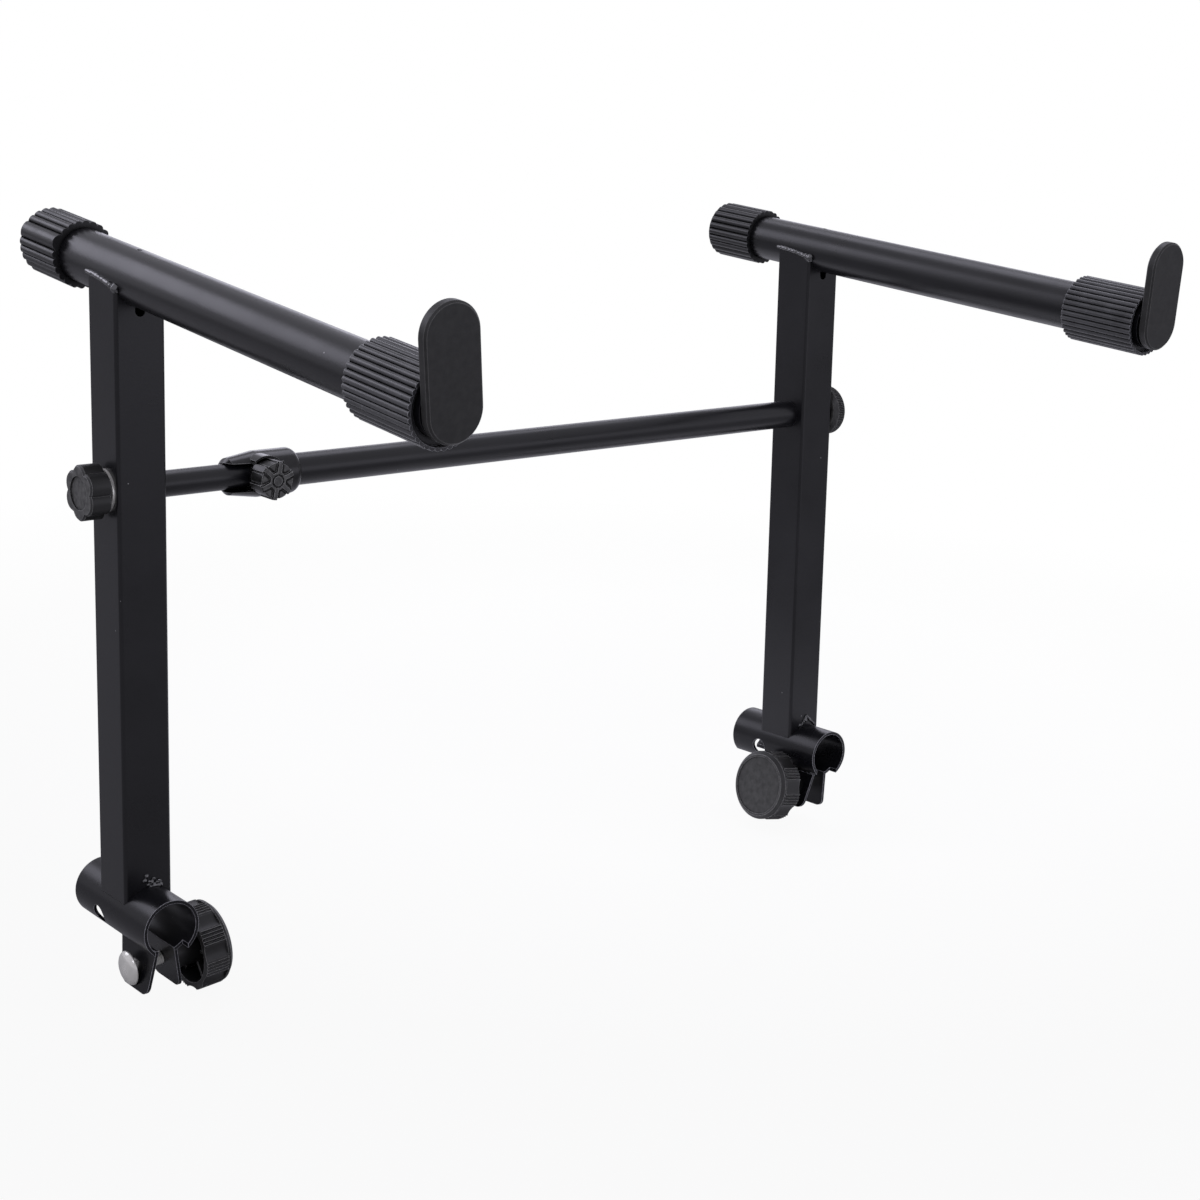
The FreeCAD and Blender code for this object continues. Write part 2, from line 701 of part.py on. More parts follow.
def save_frame(side, place, stop_turn_deg, cap_gap, wide_lobe_deg):
    """One welded side frame with its clamp hardware; place moves each piece home."""
    pieces = {
        "upright": make_upright(),
        "arm_tube": make_arm(),
        "grip_sleeve": make_sleeve(),
        "end_stop": make_stop(stop_turn_deg),
        "rear_cap": make_cap(cap_gap, wide_lobe_deg),
    }
    knob_seat = bolt_seat(clamp_washer_radius, -1)
    washer_hole = bolt_radius + washer_hole_clearance
    handed = {
        "clamp_tube": make_clamp_tube(),
        "clamp_bolt": make_clamp_bolt(),
        "clamp_washer": at_bolt(make_washer(clamp_washer_radius, washer_hole), knob_seat),
        "clamp_knob": at_bolt(make_clamp_knob(), knob_seat + washer_thickness),
        "clamp_knob_nut": at_bolt(make_clamp_nut(), knob_seat + washer_thickness),
    }
    for name, shape in handed.items():
        # The right frame's clamp is the mirror image of the left's, turned on its bore.
        if side == "right":
            shape = shape.mirror(CENTRE, X_AXIS)
            shape.rotate(CENTRE, Y_AXIS, right_clamp_turn_deg)
        pieces[name] = shape
    for name, shape in pieces.items():
        save(side + "_" + name, place(shape))


def at_left(shape):
    return shape


def at_right(shape):
    shape.rotate(bar_line, X_AXIS, right_swing_deg)
    shape.translate(V(frame_spacing, 0, 0))
    return shape


def at_bar(shape, along):
    shape.translate(bar_line + V(along, 0, 0))
    return shape


def save_crossbar():
    inner_end = upright_half + inner_bar_length
    inner = x_rod(inner_bar_radius, upright_half, inner_end)
    inner = inner.cut(x_rod(inner_bore_radius, 0, inner_end + overrun))
    save("inner_bar", at_bar(inner, 0))
    outer = x_rod(outer_bar_radius, outer_bar_start, bar_reach)
    outer = outer.cut(x_rod(outer_bore_radius, 0, frame_spacing))
    save("outer_bar", at_bar(outer, 0))
    save("inner_bar_plug", at_bar(make_bar_plug(inner_bore_radius), upright_half))
    right_plug = make_bar_plug(outer_bore_radius).mirror(CENTRE, X_AXIS)
    save("outer_bar_plug", at_bar(right_plug, bar_reach))

    save("telescope_collar", at_bar(make_collar(), collar_start))
    knob_along = collar_start + collar_knob_reach
    save("telescope_nut", at_bar(make_collar_nut(), knob_along))
    save("telescope_knob", at_bar(make_grip_knob(), knob_along))
    save("telescope_screw", at_bar(make_grip_screw(), knob_along))


def save_bar_knobs():
    """Drawn looking out along +X from the upright's face, mirrored for the left."""
    washer_hole = stud_radius + washer_hole_clearance
    left = {
        "left_bar_washer": make_washer(bar_washer_radius, washer_hole),
        "left_bar_knob": make_star_knob().translate(V(washer_thickness, 0, 0)),
        "left_bar_stud": make_stud(star_stud_depth).translate(V(washer_thickness, 0, 0)),
    }
    for name, shape in left.items():
        save(name, at_bar(shape.mirror(CENTRE, X_AXIS), -upright_half))
    right = {
        "right_bar_washer": make_washer(bar_washer_radius, washer_hole),
        "right_bar_knob": make_disc_knob().translate(V(washer_thickness, 0, 0)),
        "right_bar_stud": make_stud(disc_stud_depth).translate(V(washer_thickness, 0, 0)),
    }
    for name, shape in right.items():
        save(name, at_bar(shape, frame_spacing + upright_half))


save_frame("left", at_left, left_stop_turn_deg, left_cap_gap, left_wide_lobe_deg)
save_frame("right", at_right, right_stop_turn_deg, right_cap_gap, right_wide_lobe_deg)
save_crossbar()
save_bar_knobs()
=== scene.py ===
import math
import random

import bmesh
import bpy
from mathutils import Matrix, Vector, noise


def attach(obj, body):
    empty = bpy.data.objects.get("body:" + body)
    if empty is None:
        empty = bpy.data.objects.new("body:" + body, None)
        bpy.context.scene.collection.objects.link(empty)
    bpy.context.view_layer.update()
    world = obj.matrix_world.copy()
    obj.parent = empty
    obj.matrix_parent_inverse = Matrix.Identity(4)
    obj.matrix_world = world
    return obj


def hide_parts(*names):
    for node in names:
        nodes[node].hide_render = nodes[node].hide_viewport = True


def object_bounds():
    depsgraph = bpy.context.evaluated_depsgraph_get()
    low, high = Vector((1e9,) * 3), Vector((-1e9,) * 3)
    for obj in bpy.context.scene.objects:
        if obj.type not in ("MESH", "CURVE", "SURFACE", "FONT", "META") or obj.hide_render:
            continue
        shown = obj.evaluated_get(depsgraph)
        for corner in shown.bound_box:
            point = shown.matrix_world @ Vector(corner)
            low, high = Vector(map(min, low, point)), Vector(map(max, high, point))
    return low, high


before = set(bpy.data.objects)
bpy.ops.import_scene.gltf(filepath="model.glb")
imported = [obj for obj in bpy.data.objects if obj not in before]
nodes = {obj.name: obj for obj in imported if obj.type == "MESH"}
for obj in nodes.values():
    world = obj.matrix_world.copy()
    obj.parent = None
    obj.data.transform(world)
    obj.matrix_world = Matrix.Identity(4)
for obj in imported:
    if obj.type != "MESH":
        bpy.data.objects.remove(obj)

cad_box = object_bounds()
MM = 0.001

# Places taken from the solids, in metres and radians
FRAME_SPACING = 540 * MM
BAR_HEIGHT = 249 * MM
ARM_HEIGHT = 367 * MM
ARM_TILT = math.radians(6.0)
UPRIGHT_HALF = 15 * MM
CLAMP_RADIUS = 17.5 * MM
RIGHT_SWING = math.radians(-2.1)
RIGHT_CLAMP_TURN = math.radians(7.5)
BOLT_PLACE = Vector((0, -14 * MM, -29.5 * MM))
BOLT_TILT = math.radians(-4.0)
GRIP_PLACE = 80.5 * MM           # the telescope knob's axis, along the bar

# A drawn piece stays this far inside the solid that it replaces
INSET = 0.02 * MM

# Carriage bolt, in mm. The head's profile: distance from its top, and radius
BOLT_STEPS = 64
HEAD_HEIGHT = 4.58
HEAD_PROFILE = [(0.0, 0.6), (0.06, 2.2), (0.3, 4.3), (0.75, 6.2), (1.4, 7.9), (2.25, 9.2),
                (3.0, 9.85), (3.5, 10.15), (3.95, 10.28), (4.3, 10.2), (4.5, 9.95),
                (HEAD_HEIGHT, 9.6), (HEAD_HEIGHT, 6.0)]
NECK_LENGTH = 4.5
NECK_HALF = 3.98
NECK_FLAT = 3.4                  # half of each side's flat, between the soft corners
THREAD_STEPS = 24
THREAD_ROWS = 6                  # for each turn of thread
THREAD_PITCH = 1.25
THREAD_ROOT = 3.35
THREAD_DEPTH = 0.6
THREAD_FLAT = 1.25               # above 1, the crests are cut flat
THREAD_RUNOUT = 1.2              # at the tip, the radius falls by this length and drop
THREAD_RUNOUT_DROP = 0.45

# Telescope knob, in mm
GRIP_SPOKES = 6
GRIP_FIRST_SPOKE = math.radians(19.0)
GRIP_STEPS = 216
GRIP_FACE_ROWS = 40
GRIP_RIM = 10.4
GRIP_RIM_MEAN = 10.8             # where distances from a spoke's middle are taken
GRIP_LOBE = 0.85
GRIP_VALLEY = 0.45
GRIP_FACE_INSET = 0.25
GRIP_EDGE_WIDTH = 0.9
GRIP_RING_DEPTH = 0.9
GRIP_POCKET_DEPTH = 0.55
GRIP_SCOOP_DEPTH = 0.75
GRIP_EDGE_DEPTH = 0.6
GRIP_RIM_START = 1.1             # the rim's straight part, from the face
GRIP_BACK_BEVEL = 0.6            # and from the back
GRIP_SMOOTH_FACING = 0.4         # faces that look this much along the axis are smooth

# Welds, in metres
BEAD_RADIUS = 1.5 * MM
BEAD_STEPS = 90
BEAD_SIDES = 12
BEAD_RIPPLES = 11
BEAD_THINNEST = 0.05 * MM
FOOT_BEAD_HALF = 11.0 * MM
# Lumps on the upright's front, in mm: across, height over the clamp's axis, radius
FOOT_LUMPS_LEFT = [(-2.6, 21.5, 1.5), (-1.4, 24.2, 1.5), (0.2, 20.6, 1.3),
                   (-0.4, 18.6, 1.1), (1.8, 19.6, 1.6), (3.4, 17.6, 1.9),
                   (4.9, 19.4, 1.5), (5.6, 16.9, 1.8), (7.4, 17.6, 1.6),
                   (7.0, 19.8, 1.2), (3.2, 21.8, 1.1), (1.2, 17.4, 1.2)]
FOOT_LUMPS_RIGHT = ([(-3.4 + 0.8 * i, 16.9 + 0.95 * i, 0.8 + 0.08 * i) for i in range(8)]
                    + [(2.6 + 1.15 * i, 23.2 - 1.0 * i, 1.35 - 0.05 * i) for i in range(8)]
                    + [(-5.0, 17.6, 1.3), (1.0, 20.6, 1.4)])

# Looks
LIGHT_COLOUR = (0.87, 0.86, 1.0)
FILL_COLOUR = (0.91, 0.90, 1.0, 1)
FILL_STRENGTH = 0.58
GROOVE_SHADE = 0.002
NODE_SAMPLES = 4                 # of the bevel and ambient occlusion nodes

# Photograph's camera, from the fit
PHOTO_WIDTH = 1200
FOCAL_PIXELS = 2040.6
SENSOR_MM = 36.0
CAMERA_PLACE = (-540.4 * MM, -996.7 * MM, 486.1 * MM)
CAMERA_YAW, CAMERA_PITCH, CAMERA_ROLL = 0.7304, 0.2566, -0.0439


# ---------------------------------------------------------------- shader nodes

def blank(name):
    mat = bpy.data.materials.new(name)
    mat.use_nodes = True
    tree = mat.node_tree
    tree.nodes.clear()
    return mat, tree, tree.nodes.new("ShaderNodeOutputMaterial")


def blank_surface(name):
    """A material with one Principled shader."""
    mat, tree, out = blank(name)
    bsdf = tree.nodes.new("ShaderNodeBsdfPrincipled")
    tree.links.new(bsdf.outputs["BSDF"], out.inputs["Surface"])
    return mat, tree, bsdf


def grey(v, tint=0.0):
    return (v, v, v * (1 + tint), 1)


def object_coords(tree, stretch=(1, 1, 1)):
    coords = tree.nodes.new("ShaderNodeTexCoord")
    mapping = tree.nodes.new("ShaderNodeMapping")
    mapping.inputs["Scale"].default_value = stretch
    tree.links.new(coords.outputs["Object"], mapping.inputs["Vector"])
    return mapping.outputs["Vector"]


def noise_node(tree, vector, scale, detail=3.0, rough=0.55):
    node = tree.nodes.new("ShaderNodeTexNoise")
    node.inputs["Scale"].default_value = scale
    node.inputs["Detail"].default_value = detail
    node.inputs["Roughness"].default_value = rough
    tree.links.new(vector, node.inputs["Vector"])
    return node.outputs["Fac"]


def ramp(tree, value, stops):
    """stops: (position, colour)."""
    node = tree.nodes.new("ShaderNodeValToRGB")
    elements = node.color_ramp.elements
    while len(elements) > 1:
        elements.remove(elements[-1])
    elements[0].position, elements[0].color = stops[0]
    for position, colour in stops[1:]:
        elements.new(position).color = colour
    tree.links.new(value, node.inputs["Fac"])
    return node.outputs["Color"]


def map_range(tree, value, from_min, from_max, to_min=0.0, to_max=1.0):
    node = tree.nodes.new("ShaderNodeMapRange")
    node.inputs["From Min"].default_value = from_min
    node.inputs["From Max"].default_value = from_max
    node.inputs["To Min"].default_value = to_min
    node.inputs["To Max"].default_value = to_max
    tree.links.new(value, node.inputs["Value"])
    return node.outputs["Result"]


def spread(tree, value, low, high):
    """Noise keeps near its middle, so its middle part is stretched over the range."""
    return map_range(tree, value, 0.3, 0.7, low, high)


def math_node(tree, operation, first, second=None):
    """second: nothing, a number or a socket."""
    node = tree.nodes.new("ShaderNodeMath")
    node.operation = operation
    tree.links.new(first, node.inputs[0])
    if isinstance(second, float):
        node.inputs[1].default_value = second
    elif second is not None:
        tree.links.new(second, node.inputs[1])
    return node.outputs[0]


def mix_colour(tree, factor, a, b):
    """a and b: a colour or a socket."""
    node = tree.nodes.new("ShaderNodeMix")
    node.data_type = "RGBA"
    tree.links.new(factor, node.inputs["Factor"])
    for source, name in ((a, "A"), (b, "B")):
        socket = [s for s in node.inputs if s.name == name and s.type == "RGBA"][0]
        if isinstance(source, tuple):
            socket.default_value = source
        else:
            tree.links.new(source, socket)
    return [s for s in node.outputs if s.type == "RGBA"][0]


def mix_shader(tree, factor, a, b):
    node = tree.nodes.new("ShaderNodeMixShader")
    tree.links.new(factor, node.inputs["Fac"])
    tree.links.new(a, node.inputs[1])
    tree.links.new(b, node.inputs[2])
    return node.outputs[0]


def rounded_normal(tree, radius):
    bevel = tree.nodes.new("ShaderNodeBevel")
    bevel.samples = NODE_SAMPLES
    bevel.inputs["Radius"].default_value = radius
    return bevel.outputs["Normal"]


def edge_mask(tree, radius):
    """1 along sharp edges, 0 on flats: the rounded normal against the true one."""
    rounded = rounded_normal(tree, radius)
    geometry = tree.nodes.new("ShaderNodeNewGeometry")
    dot = tree.nodes.new("ShaderNodeVectorMath")
    dot.operation = "DOT_PRODUCT"
    tree.links.new(rounded, dot.inputs[0])
    tree.links.new(geometry.outputs["Normal"], dot.inputs[1])
    return map_range(tree, dot.outputs["Value"], 0.998, 0.93)


def end_face(tree, axis):
    """1 on faces square to the knob's own axis (0 is X, 1 is Y), 0 round its rim."""
    geometry = tree.nodes.new("ShaderNodeNewGeometry")
    parts = tree.nodes.new("ShaderNodeSeparateXYZ")
    tree.links.new(geometry.outputs["Normal"], parts.inputs[0])
    return map_range(tree, math_node(tree, "ABSOLUTE", parts.outputs[axis]), 0.6, 0.95)


def colour_with_grooves(tree, bsdf, colour, reach, specular):
    """Sets colour and shine, both less where near surfaces shut the light out."""
    shut = tree.nodes.new("ShaderNodeAmbientOcclusion")
    shut.samples = NODE_SAMPLES
    shut.inputs["Distance"].default_value = reach
    openness = map_range(tree, shut.outputs["AO"], 0.45, 0.88)
    tree.links.new(mix_colour(tree, openness, grey(GROOVE_SHADE), colour),
                   bsdf.inputs["Base Color"])
    tree.links.new(math_node(tree, "MULTIPLY", openness, specular),
                   bsdf.inputs["Specular IOR Level"])


def bump_chain(tree, bsdf, heights, edge_radius):
    """heights: (value socket, strength, distance), laid over rounded edges in turn."""
    normal = rounded_normal(tree, edge_radius)
    for value, strength, distance in heights:
        bump = tree.nodes.new("ShaderNodeBump")
        bump.inputs["Strength"].default_value = strength
        bump.inputs["Distance"].default_value = distance
        tree.links.new(value, bump.inputs["Height"])
        tree.links.new(normal, bump.inputs["Normal"])
        normal = bump.outputs["Normal"]
    tree.links.new(normal, bsdf.inputs["Normal"])


# ---------------------------------------------------------------- materials

def powder_coat(name, rough, nib, edge, edge_width, specular=0.52, ior=1.5):
    """Satin black powder coat: orange peel, slight cloudiness, a few dust nibs, and a painted
    highlight along sharp edges.
    """
    mat, tree, bsdf = blank_surface(name)
    vector = object_coords(tree)
    cloud = noise_node(tree, vector, 22, 4)
    peel = noise_node(tree, vector, 850, 2)
    fine = noise_node(tree, vector, 2600, 2)
    base = ramp(tree, cloud, [(0.3, grey(0.004, 0.3)), (0.7, grey(0.007, 0.25))])
    nibs = tree.nodes.new("ShaderNodeTexVoronoi")
    nibs.inputs["Scale"].default_value = 62
    tree.links.new(vector, nibs.inputs["Vector"])
    speck = ramp(tree, nibs.outputs["Distance"],
                 [(0.0, grey(1)), (0.016, grey(1)), (0.022, grey(0))])
    base = mix_colour(tree, speck, base, grey(nib))
    # Painted highlight: sharp edges get a lighter colour than the flats.
    painted_edge_highlight = mix_colour(tree, edge_mask(tree, edge_width), base, grey(edge, 0.06))
    tree.links.new(painted_edge_highlight, bsdf.inputs["Base Color"])
    tree.links.new(spread(tree, cloud, *rough), bsdf.inputs["Roughness"])
    bsdf.inputs["Specular IOR Level"].default_value = specular
    bsdf.inputs["IOR"].default_value = ior
    bump_chain(tree, bsdf, [(peel, 0.12, 0.25 * MM), (fine, 0.08, 0.08 * MM)], 0.45 * MM)
    return mat


def rubber(name, base, rough, edge, edge_width):
    """Black rubber with a dry bloom in the grain and a painted highlight along sharp edges.
    base: darkest and lightest.
    """
    mat, tree, bsdf = blank_surface(name)
    vector = object_coords(tree)
    cloud = noise_node(tree, vector, 60, 4)
    grain = noise_node(tree, vector, 2200, 3)
    bloom = ramp(tree, cloud, [(0.3, grey(base[0], 0.05)), (0.75, grey(base[1], 0.05))])
    # Painted highlight: sharp edges, such as the crests of the ribs, get a lighter colour.
    painted_edge_highlight = mix_colour(tree, edge_mask(tree, edge_width), bloom, grey(edge, 0.05))
    colour_with_grooves(tree, bsdf, painted_edge_highlight, 2.5 * MM, 0.6)
    tree.links.new(spread(tree, cloud, *rough), bsdf.inputs["Roughness"])
    bump_chain(tree, bsdf, [(grain, 0.2, 0.12 * MM)], 0.35 * MM)
    return mat


def moulded(name, base, rough, edge, grain, axis=None, edge_width=0.55 * MM):
    """Moulded black plastic with a spark-eroded grain and a painted highlight along its edges.

    base: darkest and lightest. grain: scale and strength. With an axis, the faces
    square to it keep the base and the rim round it is darker, a painted shade.
    """
    mat, tree, bsdf = blank_surface(name)
    vector = object_coords(tree)
    cloud = noise_node(tree, vector, 45, 4)
    mottle = noise_node(tree, vector, 260, 6, 0.65)
    erosion = noise_node(tree, vector, grain[0], 3)
    colour = ramp(tree, mottle, [(0.36, grey(base[0], -0.05)), (0.64, grey(base[1], -0.05))])
    # Painted shade: with an axis, the rim round it is darker than the faces square to it.
    if axis is not None:
        rim = grey(base[0] * 0.35, -0.05)
        colour = mix_colour(tree, end_face(tree, axis), rim, colour)
    # Painted highlight: sharp edges get a lighter colour than the flats.
    painted_edge_highlight = mix_colour(tree, edge_mask(tree, edge_width), colour, grey(edge, -0.03))
    colour_with_grooves(tree, bsdf, painted_edge_highlight, 3.0 * MM, 0.5)
    tree.links.new(spread(tree, cloud, *rough), bsdf.inputs["Roughness"])
    bump_chain(tree, bsdf, [(erosion, grain[1], 0.15 * MM)], 0.35 * MM)
    return mat


def metal(name, colour, rough, stretch, scratch, metallic=1.0):
    """Plated or turned metal: cloudy roughness and faint scratches, drawn out by stretch."""
    mat, tree, bsdf = blank_surface(name)
    vector = object_coords(tree)
    cloud = noise_node(tree, vector, 140, 4)
    lines = noise_node(tree, object_coords(tree, stretch), 900, 3)
    low = tuple(c * 0.82 for c in colour) + (1,)
    high = tuple(colour) + (1,)
    tree.links.new(ramp(tree, cloud, [(0.3, low), (0.7, high)]), bsdf.inputs["Base Color"])
    tree.links.new(spread(tree, cloud, *rough), bsdf.inputs["Roughness"])
    bsdf.inputs["Metallic"].default_value = metallic
    bump_chain(tree, bsdf, [(lines, scratch, 0.05 * MM)], 0.2 * MM)
    return mat


coat = powder_coat("powder_coat_black", rough=(0.26, 0.35), nib=0.5, edge=0.05,
                   edge_width=0.4 * MM)
clamp_coat = powder_coat("powder_coat_clamp", rough=(0.24, 0.33), nib=0.3, edge=0.65,
                         edge_width=0.45 * MM, specular=0.36)
weld_coat = powder_coat("weld_coat_black", rough=(0.10, 0.16), nib=0.02, edge=0.02,
                        edge_width=0.2 * MM, specular=1.0, ior=1.75)
sleeve_rubber = rubber("rubber_sleeve", base=(0.040, 0.09), rough=(0.20, 0.30), edge=0.6,
                       edge_width=0.35 * MM)
cap_rubber = rubber("rubber_cap", base=(0.008, 0.018), rough=(0.30, 0.42), edge=0.10,
                    edge_width=0.5 * MM)
stop_plastic = moulded("stop_plastic_black", base=(0.016, 0.026), rough=(0.36, 0.46),
                       edge=0.16, grain=(1500, 0.10))
collar_plastic = moulded("collar_plastic_black", base=(0.003, 0.010), rough=(0.14, 0.24),
                         edge=0.25, grain=(1300, 0.10))
clamp_knob_plastic = moulded("clamp_knob_plastic_black", base=(0.032, 0.066),
                             rough=(0.32, 0.44), edge=0.60, grain=(1900, 0.2), axis=0,
                             edge_width=0.3 * MM)
bar_knob_plastic = moulded("bar_knob_plastic_black", base=(0.040, 0.13),
                           rough=(0.38, 0.50), edge=0.34, grain=(1900, 0.3), axis=0,
                           edge_width=0.4 * MM)
grip_knob_plastic = moulded("grip_knob_plastic_black", base=(0.045, 0.12),
                            rough=(0.30, 0.42), edge=0.75, grain=(1900, 0.2), axis=1,
                            edge_width=0.35 * MM)
chrome = metal("chrome_bright", (0.98, 0.97, 0.90), rough=(0.14, 0.30),
               stretch=(1, 1, 0.1), scratch=0.12, metallic=0.45)
zinc = metal("zinc_steel", (0.62, 0.62, 0.63), rough=(0.28, 0.40),
             stretch=(0.1, 1, 1), scratch=0.12)
brass = metal("brass_turned", (0.78, 0.60, 0.30), rough=(0.25, 0.38),
              stretch=(0.1, 1, 1), scratch=0.10)

# By the node's name without its side
finishes = {
    "upright": coat, "arm_tube": coat, "inner_bar": coat, "outer_bar": coat,
    "clamp_tube": clamp_coat, "grip_sleeve": sleeve_rubber, "rear_cap": cap_rubber,
    "end_stop": stop_plastic, "clamp_knob": clamp_knob_plastic,
    "bar_knob": bar_knob_plastic, "telescope_knob": grip_knob_plastic,
    "telescope_collar": collar_plastic, "clamp_bolt": chrome, "clamp_washer": chrome,
    "bar_washer": chrome, "clamp_knob_nut": brass, "telescope_nut": brass,
    "bar_stud": zinc, "telescope_screw": zinc, "inner_bar_plug": zinc,
    "outer_bar_plug": zinc,
}

for name, obj in nodes.items():
    plain_name = name.removeprefix("left_").removeprefix("right_")
    obj.data.materials.clear()
    obj.data.materials.append(finishes[plain_name])


# ---------------------------------------------------------------- drawn pieces

def add_piece(name, bm, mat, body, smooth=True):
    mesh = bpy.data.meshes.new(name)
    bmesh.ops.recalc_face_normals(bm, faces=bm.faces)
    for face in bm.faces:
        face.smooth = smooth
    bm.to_mesh(mesh)
    bm.free()
    obj = bpy.data.objects.new(name, mesh)
    bpy.context.scene.collection.objects.link(obj)
    obj.data.materials.append(mat)
    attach(obj, body)
    return obj


def to_right(point):
    """Where a point of the left frame lies on the right one."""
    y, z = point[1], point[2] - BAR_HEIGHT
    c, s = math.cos(RIGHT_SWING), math.sin(RIGHT_SWING)
    return Vector((point[0] + FRAME_SPACING, y * c - z * s, y * s + z * c + BAR_HEIGHT))


def frame_place(side, point):
    return Vector(point) if side == "left" else to_right(point)


def clamp_place(side, point):
    """A point of the left clamp's bolt, or of the right's, which is mirrored and turned."""
    if side == "left":
        return Vector(point)
    flipped = Vector((-point[0], point[1], point[2]))
    return to_right(Matrix.Rotation(RIGHT_CLAMP_TURN, 3, "Y") @ flipped)


def on_arm(x, along, up):
    """A point given about the left arm's axis, in the left frame's own place."""
    c, s = math.cos(ARM_TILT), math.sin(ARM_TILT)
    return Vector((x, along * c - up * s, along * s + up * c + ARM_HEIGHT))


def ring_surface(bm, rings):
    """A closed skin over rings with equal numbers of points."""
    rows = [[bm.verts.new(p) for p in ring] for ring in rings]
    count = len(rows[0])
    for first, second in zip(rows, rows[1:]):
        for i in range(count):
            j = (i + 1) % count
            bm.faces.new((first[i], first[j], second[j], second[i]))
    bm.faces.new(rows[0])
    bm.faces.new(list(reversed(rows[-1])))


def smooth_step(value, low, high):
    t = min(1.0, max(0.0, (value - low) / (high - low)))
    return t * t * (3 - 2 * t)


def clamp_bolt(side):
    """Carriage bolt: domed head with a rolled rim, square neck, cut thread."""
    def place(u, v, w):
        p = Matrix.Rotation(BOLT_TILT, 3, "Y") @ Vector((u, v, w)) + BOLT_PLACE
        return clamp_place(side, p)

    start = place(0, 0, 0)
    along = place(1, 0, 0) - start
    solid = nodes[side + "_clamp_bolt"]
    reach = [(vert.co - start).dot(along) for vert in solid.data.vertices]
    head_top, tip = min(reach) + INSET, max(reach) - INSET
    seat = head_top + HEAD_HEIGHT * MM
    neck_end = seat + NECK_LENGTH * MM
    bm = bmesh.new()

    turns = [2 * math.pi * i / BOLT_STEPS for i in range(BOLT_STEPS)]
    ring_surface(bm, [[place(head_top + u * MM, out * MM * math.cos(a), out * MM * math.sin(a))
                       for a in turns] for u, out in HEAD_PROFILE])

    half, soft = NECK_HALF * MM, NECK_FLAT * MM
    square = [(half, -soft), (half, soft), (soft, half), (-soft, half),
              (-half, soft), (-half, -soft), (-soft, -half), (soft, -half)]
    ring_surface(bm, [[place(u, v, w) for v, w in square] for u in (seat, neck_end)])

    pitch = THREAD_PITCH * MM
    rows = int((tip - neck_end) / pitch * THREAD_ROWS)
    rings = []
    for row in range(rows + 1):
        u = neck_end + (tip - neck_end) * row / rows
        runout = min(1.0, (tip - u) / (THREAD_RUNOUT * MM))
        ring = []
        for i in range(THREAD_STEPS):
            phase = (u / pitch - i / THREAD_STEPS) % 1.0
            crest = 1.0 - abs(2.0 * phase - 1.0)
            out = (THREAD_ROOT + THREAD_DEPTH * min(1.0, THREAD_FLAT * crest)
                   - THREAD_RUNOUT_DROP * (1 - runout)) * MM
            a = 2 * math.pi * i / THREAD_STEPS
            ring.append(place(u, out * math.cos(a), out * math.sin(a)))
        rings.append(ring)
    ring_surface(bm, rings)
    piece = add_piece(side + "_carriage_bolt", bm, chrome, side + "_frame")
    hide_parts(side + "_clamp_bolt")


def grip_rim(across):
    """The knob's radius in mm, at a distance across from the middle of a spoke."""
    lobe = 1 - smooth_step(across, 1.7, 2.2)
    valley = smooth_step(across, 1.9, 2.3) * (1 - smooth_step(across, 2.5, 3.1))
    return GRIP_RIM + GRIP_LOBE * lobe - GRIP_VALLEY * valley


def grip_face_depth(reach, across, rim):
    """How far the face lies behind its highest part, in mm.

    A ring round the hub, pockets between the spokes with a scoop in each, a round edge.
    reach is the distance from the axis, across that from the middle of a spoke.
    """
    ring = smooth_step(reach, 2.8, 3.05) * (1 - smooth_step(reach, 3.7, 3.95))
    pocket = smooth_step(across, 1.2, 1.45) * smooth_step(reach, 5.0, 5.5)
    scoop = pocket * (1 - smooth_step(across, 2.1, 3.2) * smooth_step(reach, 5.6, 6.8))
    edge = smooth_step(reach, rim - GRIP_EDGE_WIDTH, rim)
    return (GRIP_RING_DEPTH * ring + GRIP_POCKET_DEPTH * pocket + GRIP_SCOOP_DEPTH * scoop
            + GRIP_EDGE_DEPTH * edge)


def grip_knob():
    """Six spokes with scooped pockets between them, each ending in a lobe on the rim."""
    places = [vert.co.y for vert in nodes["telescope_knob"].data.vertices]
    front, back = min(places) + INSET, max(places) - INSET
    spoke_pitch = 2 * math.pi / GRIP_SPOKES

    def ring(share, inset, y, shaped):
        """All round the axis, at a share of the rim less inset; shaped follows the face."""
        points = []
        for i in range(GRIP_STEPS):
            turn = 2 * math.pi * i / GRIP_STEPS
            local = ((turn - GRIP_FIRST_SPOKE + spoke_pitch / 2) % spoke_pitch
                     - spoke_pitch / 2)
            rim = grip_rim(abs(GRIP_RIM_MEAN * math.sin(local)))
            reach = (rim - inset) * share
            depth = grip_face_depth(reach, abs(reach * math.sin(local)), rim) if shaped else 0
            points.append(Vector((GRIP_PLACE + reach * MM * math.cos(turn), y + depth * MM,
                                  BAR_HEIGHT + reach * MM * math.sin(turn))))
        return points

    rings = [ring(row / GRIP_FACE_ROWS, GRIP_FACE_INSET, front, True)
             for row in range(1, GRIP_FACE_ROWS + 1)]
    rings.append(ring(1, 0.0, front + GRIP_RIM_START * MM, False))
    rings.append(ring(1, 0.0, back - GRIP_BACK_BEVEL * MM, False))
    rings.append(ring(1, GRIP_BACK_BEVEL, back, False))
    bm = bmesh.new()
    ring_surface(bm, rings)
    piece = add_piece("grip_knob", bm, grip_knob_plastic, "telescope_knob",
                      smooth=False)
    for face in piece.data.polygons:
        face.use_smooth = abs(face.normal.y) > GRIP_SMOOTH_FACING
    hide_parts("telescope_knob")


